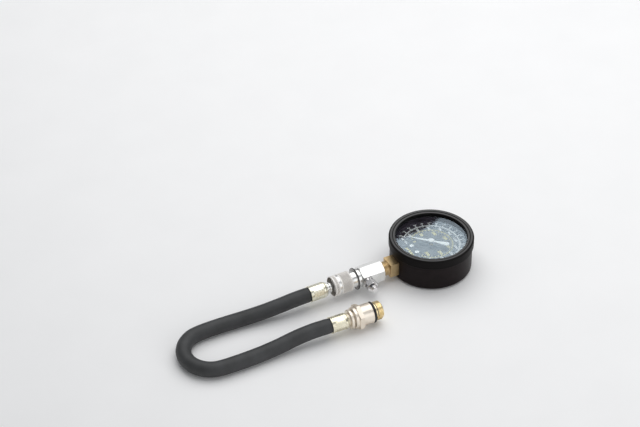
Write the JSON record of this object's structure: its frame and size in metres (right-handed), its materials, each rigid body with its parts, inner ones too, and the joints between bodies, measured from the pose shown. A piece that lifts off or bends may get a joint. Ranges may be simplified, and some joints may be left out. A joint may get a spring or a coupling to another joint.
{
  "type": "compression tester gauge",
  "caption": "Round dial pressure gauge with relief valve tee, knurled quick coupler and a plugged-in flexible hose ending in a threaded spark plug hole adapter.",
  "frame": {"origin": "centre of the flat gauge back, on the floor", "axes": "+Z out of the dial, +Y towards 12 o'clock, stem and coupler along -Y, relief valve along +X"},
  "size_m": [0.1005, 0.3169, 0.036],
  "materials": {
    "case_black": "semi-gloss stoved paint",
    "dial_black": "matt print",
    "white_paint": "matt",
    "window_clear": "polished",
    "rubber_black": "matt",
    "hose_black": "matt",
    "brass": "machined",
    "bright_nickel": "bright nickel plate",
    "satin_nickel": "satin nickel, knurled",
    "dark_steel": "blackened",
    "yellow_zinc": "yellow zinc plate",
    "warm_nickel": "warm nickel plate",
    "steel": "turned",
    "spring_steel": "drawn wire"
  },
  "bodies": {
    "gauge": {"gauge_case": "case_black", "bezel_ring": "case_black", "window": "window_clear", "window_gasket": "rubber_black", "case_screws": "steel", "dial_plate": "dial_black", "dial_screws": "steel", "dial_spacers": "brass", "stop_pin": "steel", "stem_socket": "brass", "bourdon_tube": "brass", "movement_bottom_plate": "brass", "movement_top_plate": "brass", "movement_pillars": "brass", "hairspring": "spring_steel", "tee_body": "bright_nickel", "relief_valve_body": "bright_nickel", "relief_spring": "spring_steel", "coupler_body": "bright_nickel", "coupler_seal": "rubber_black", "retaining_disc": "dark_steel", "coupler_spring": "spring_steel", "locking_balls": "steel"},
    "sector": {"sector_gear": "brass", "sector_arbor": "steel"},
    "pointer": {"pinion": "steel", "pointer": "white_paint", "pointer_hub": "steel", "hairspring_collet": "brass"},
    "tip": {"tube_tip": "brass", "link": "brass", "link_pin": "steel"},
    "relief": {"relief_button": "bright_nickel", "relief_seal": "rubber_black"},
    "sleeve": {"coupler_sleeve": "satin_nickel"},
    "hose": {"hose_plug": "bright_nickel", "near_ferrule": "yellow_zinc", "hose": "hose_black", "far_ferrule": "yellow_zinc", "hose_end_fitting": "warm_nickel", "thread_adapter": "warm_nickel", "adapter_o_ring": "rubber_black", "valve_core": "brass", "valve_spring": "spring_steel"},
    "valve": {"valve_pin": "brass"}
  },
  "joints": [
    {"name": "tip_travel", "type": "slide", "parent": "gauge", "child": "tip", "axis": [0.788, 0.6157, 0], "range_m": [0, 0.0039], "stiffness_N_per_m": 800, "deforming": ["bourdon_tube"]},
    {"name": "sector_swing", "type": "hinge", "parent": "gauge", "child": "sector", "pos_m": [0, -0.02295, 0.0205], "axis": [0, 0, 1], "range_deg": [0, 36]},
    {"name": "pointer_turn", "type": "hinge", "parent": "gauge", "child": "pointer", "pos_m": [0, 0, 0.0205], "axis": [0, 0, 1], "range_deg": [-270, 0], "deforming": ["hairspring"]},
    {"name": "relief_press", "type": "slide", "parent": "gauge", "child": "relief", "axis": [-1, 0, 0], "range_m": [0, 0.0016], "stiffness_N_per_m": 600, "springref_m": -0.002, "deforming": ["relief_spring"]},
    {"name": "sleeve_pull", "type": "slide", "parent": "gauge", "child": "sleeve", "axis": [0, 1, 0], "range_m": [0, 0.0035], "stiffness_N_per_m": 1500, "springref_m": -0.003, "deforming": ["coupler_spring"]},
    {"name": "hose_swivel", "type": "hinge", "parent": "gauge", "child": "hose", "pos_m": [0, -0.1, 0.014], "axis": [0, 1, 0], "continuous": true},
    {"name": "valve_push", "type": "slide", "parent": "hose", "child": "valve", "axis": [-0.0349, -0.9994, 0], "range_m": [0, 0.0015], "stiffness_N_per_m": 300, "springref_m": -0.001, "deforming": ["valve_spring"]}
  ],
  "couplings": [
    {"joint": "sector_swing", "follows": "tip_travel", "rad_per_m": 161.15},
    {"joint": "pointer_turn", "follows": "tip_travel", "rad_per_m": -1208.6}
  ]
}
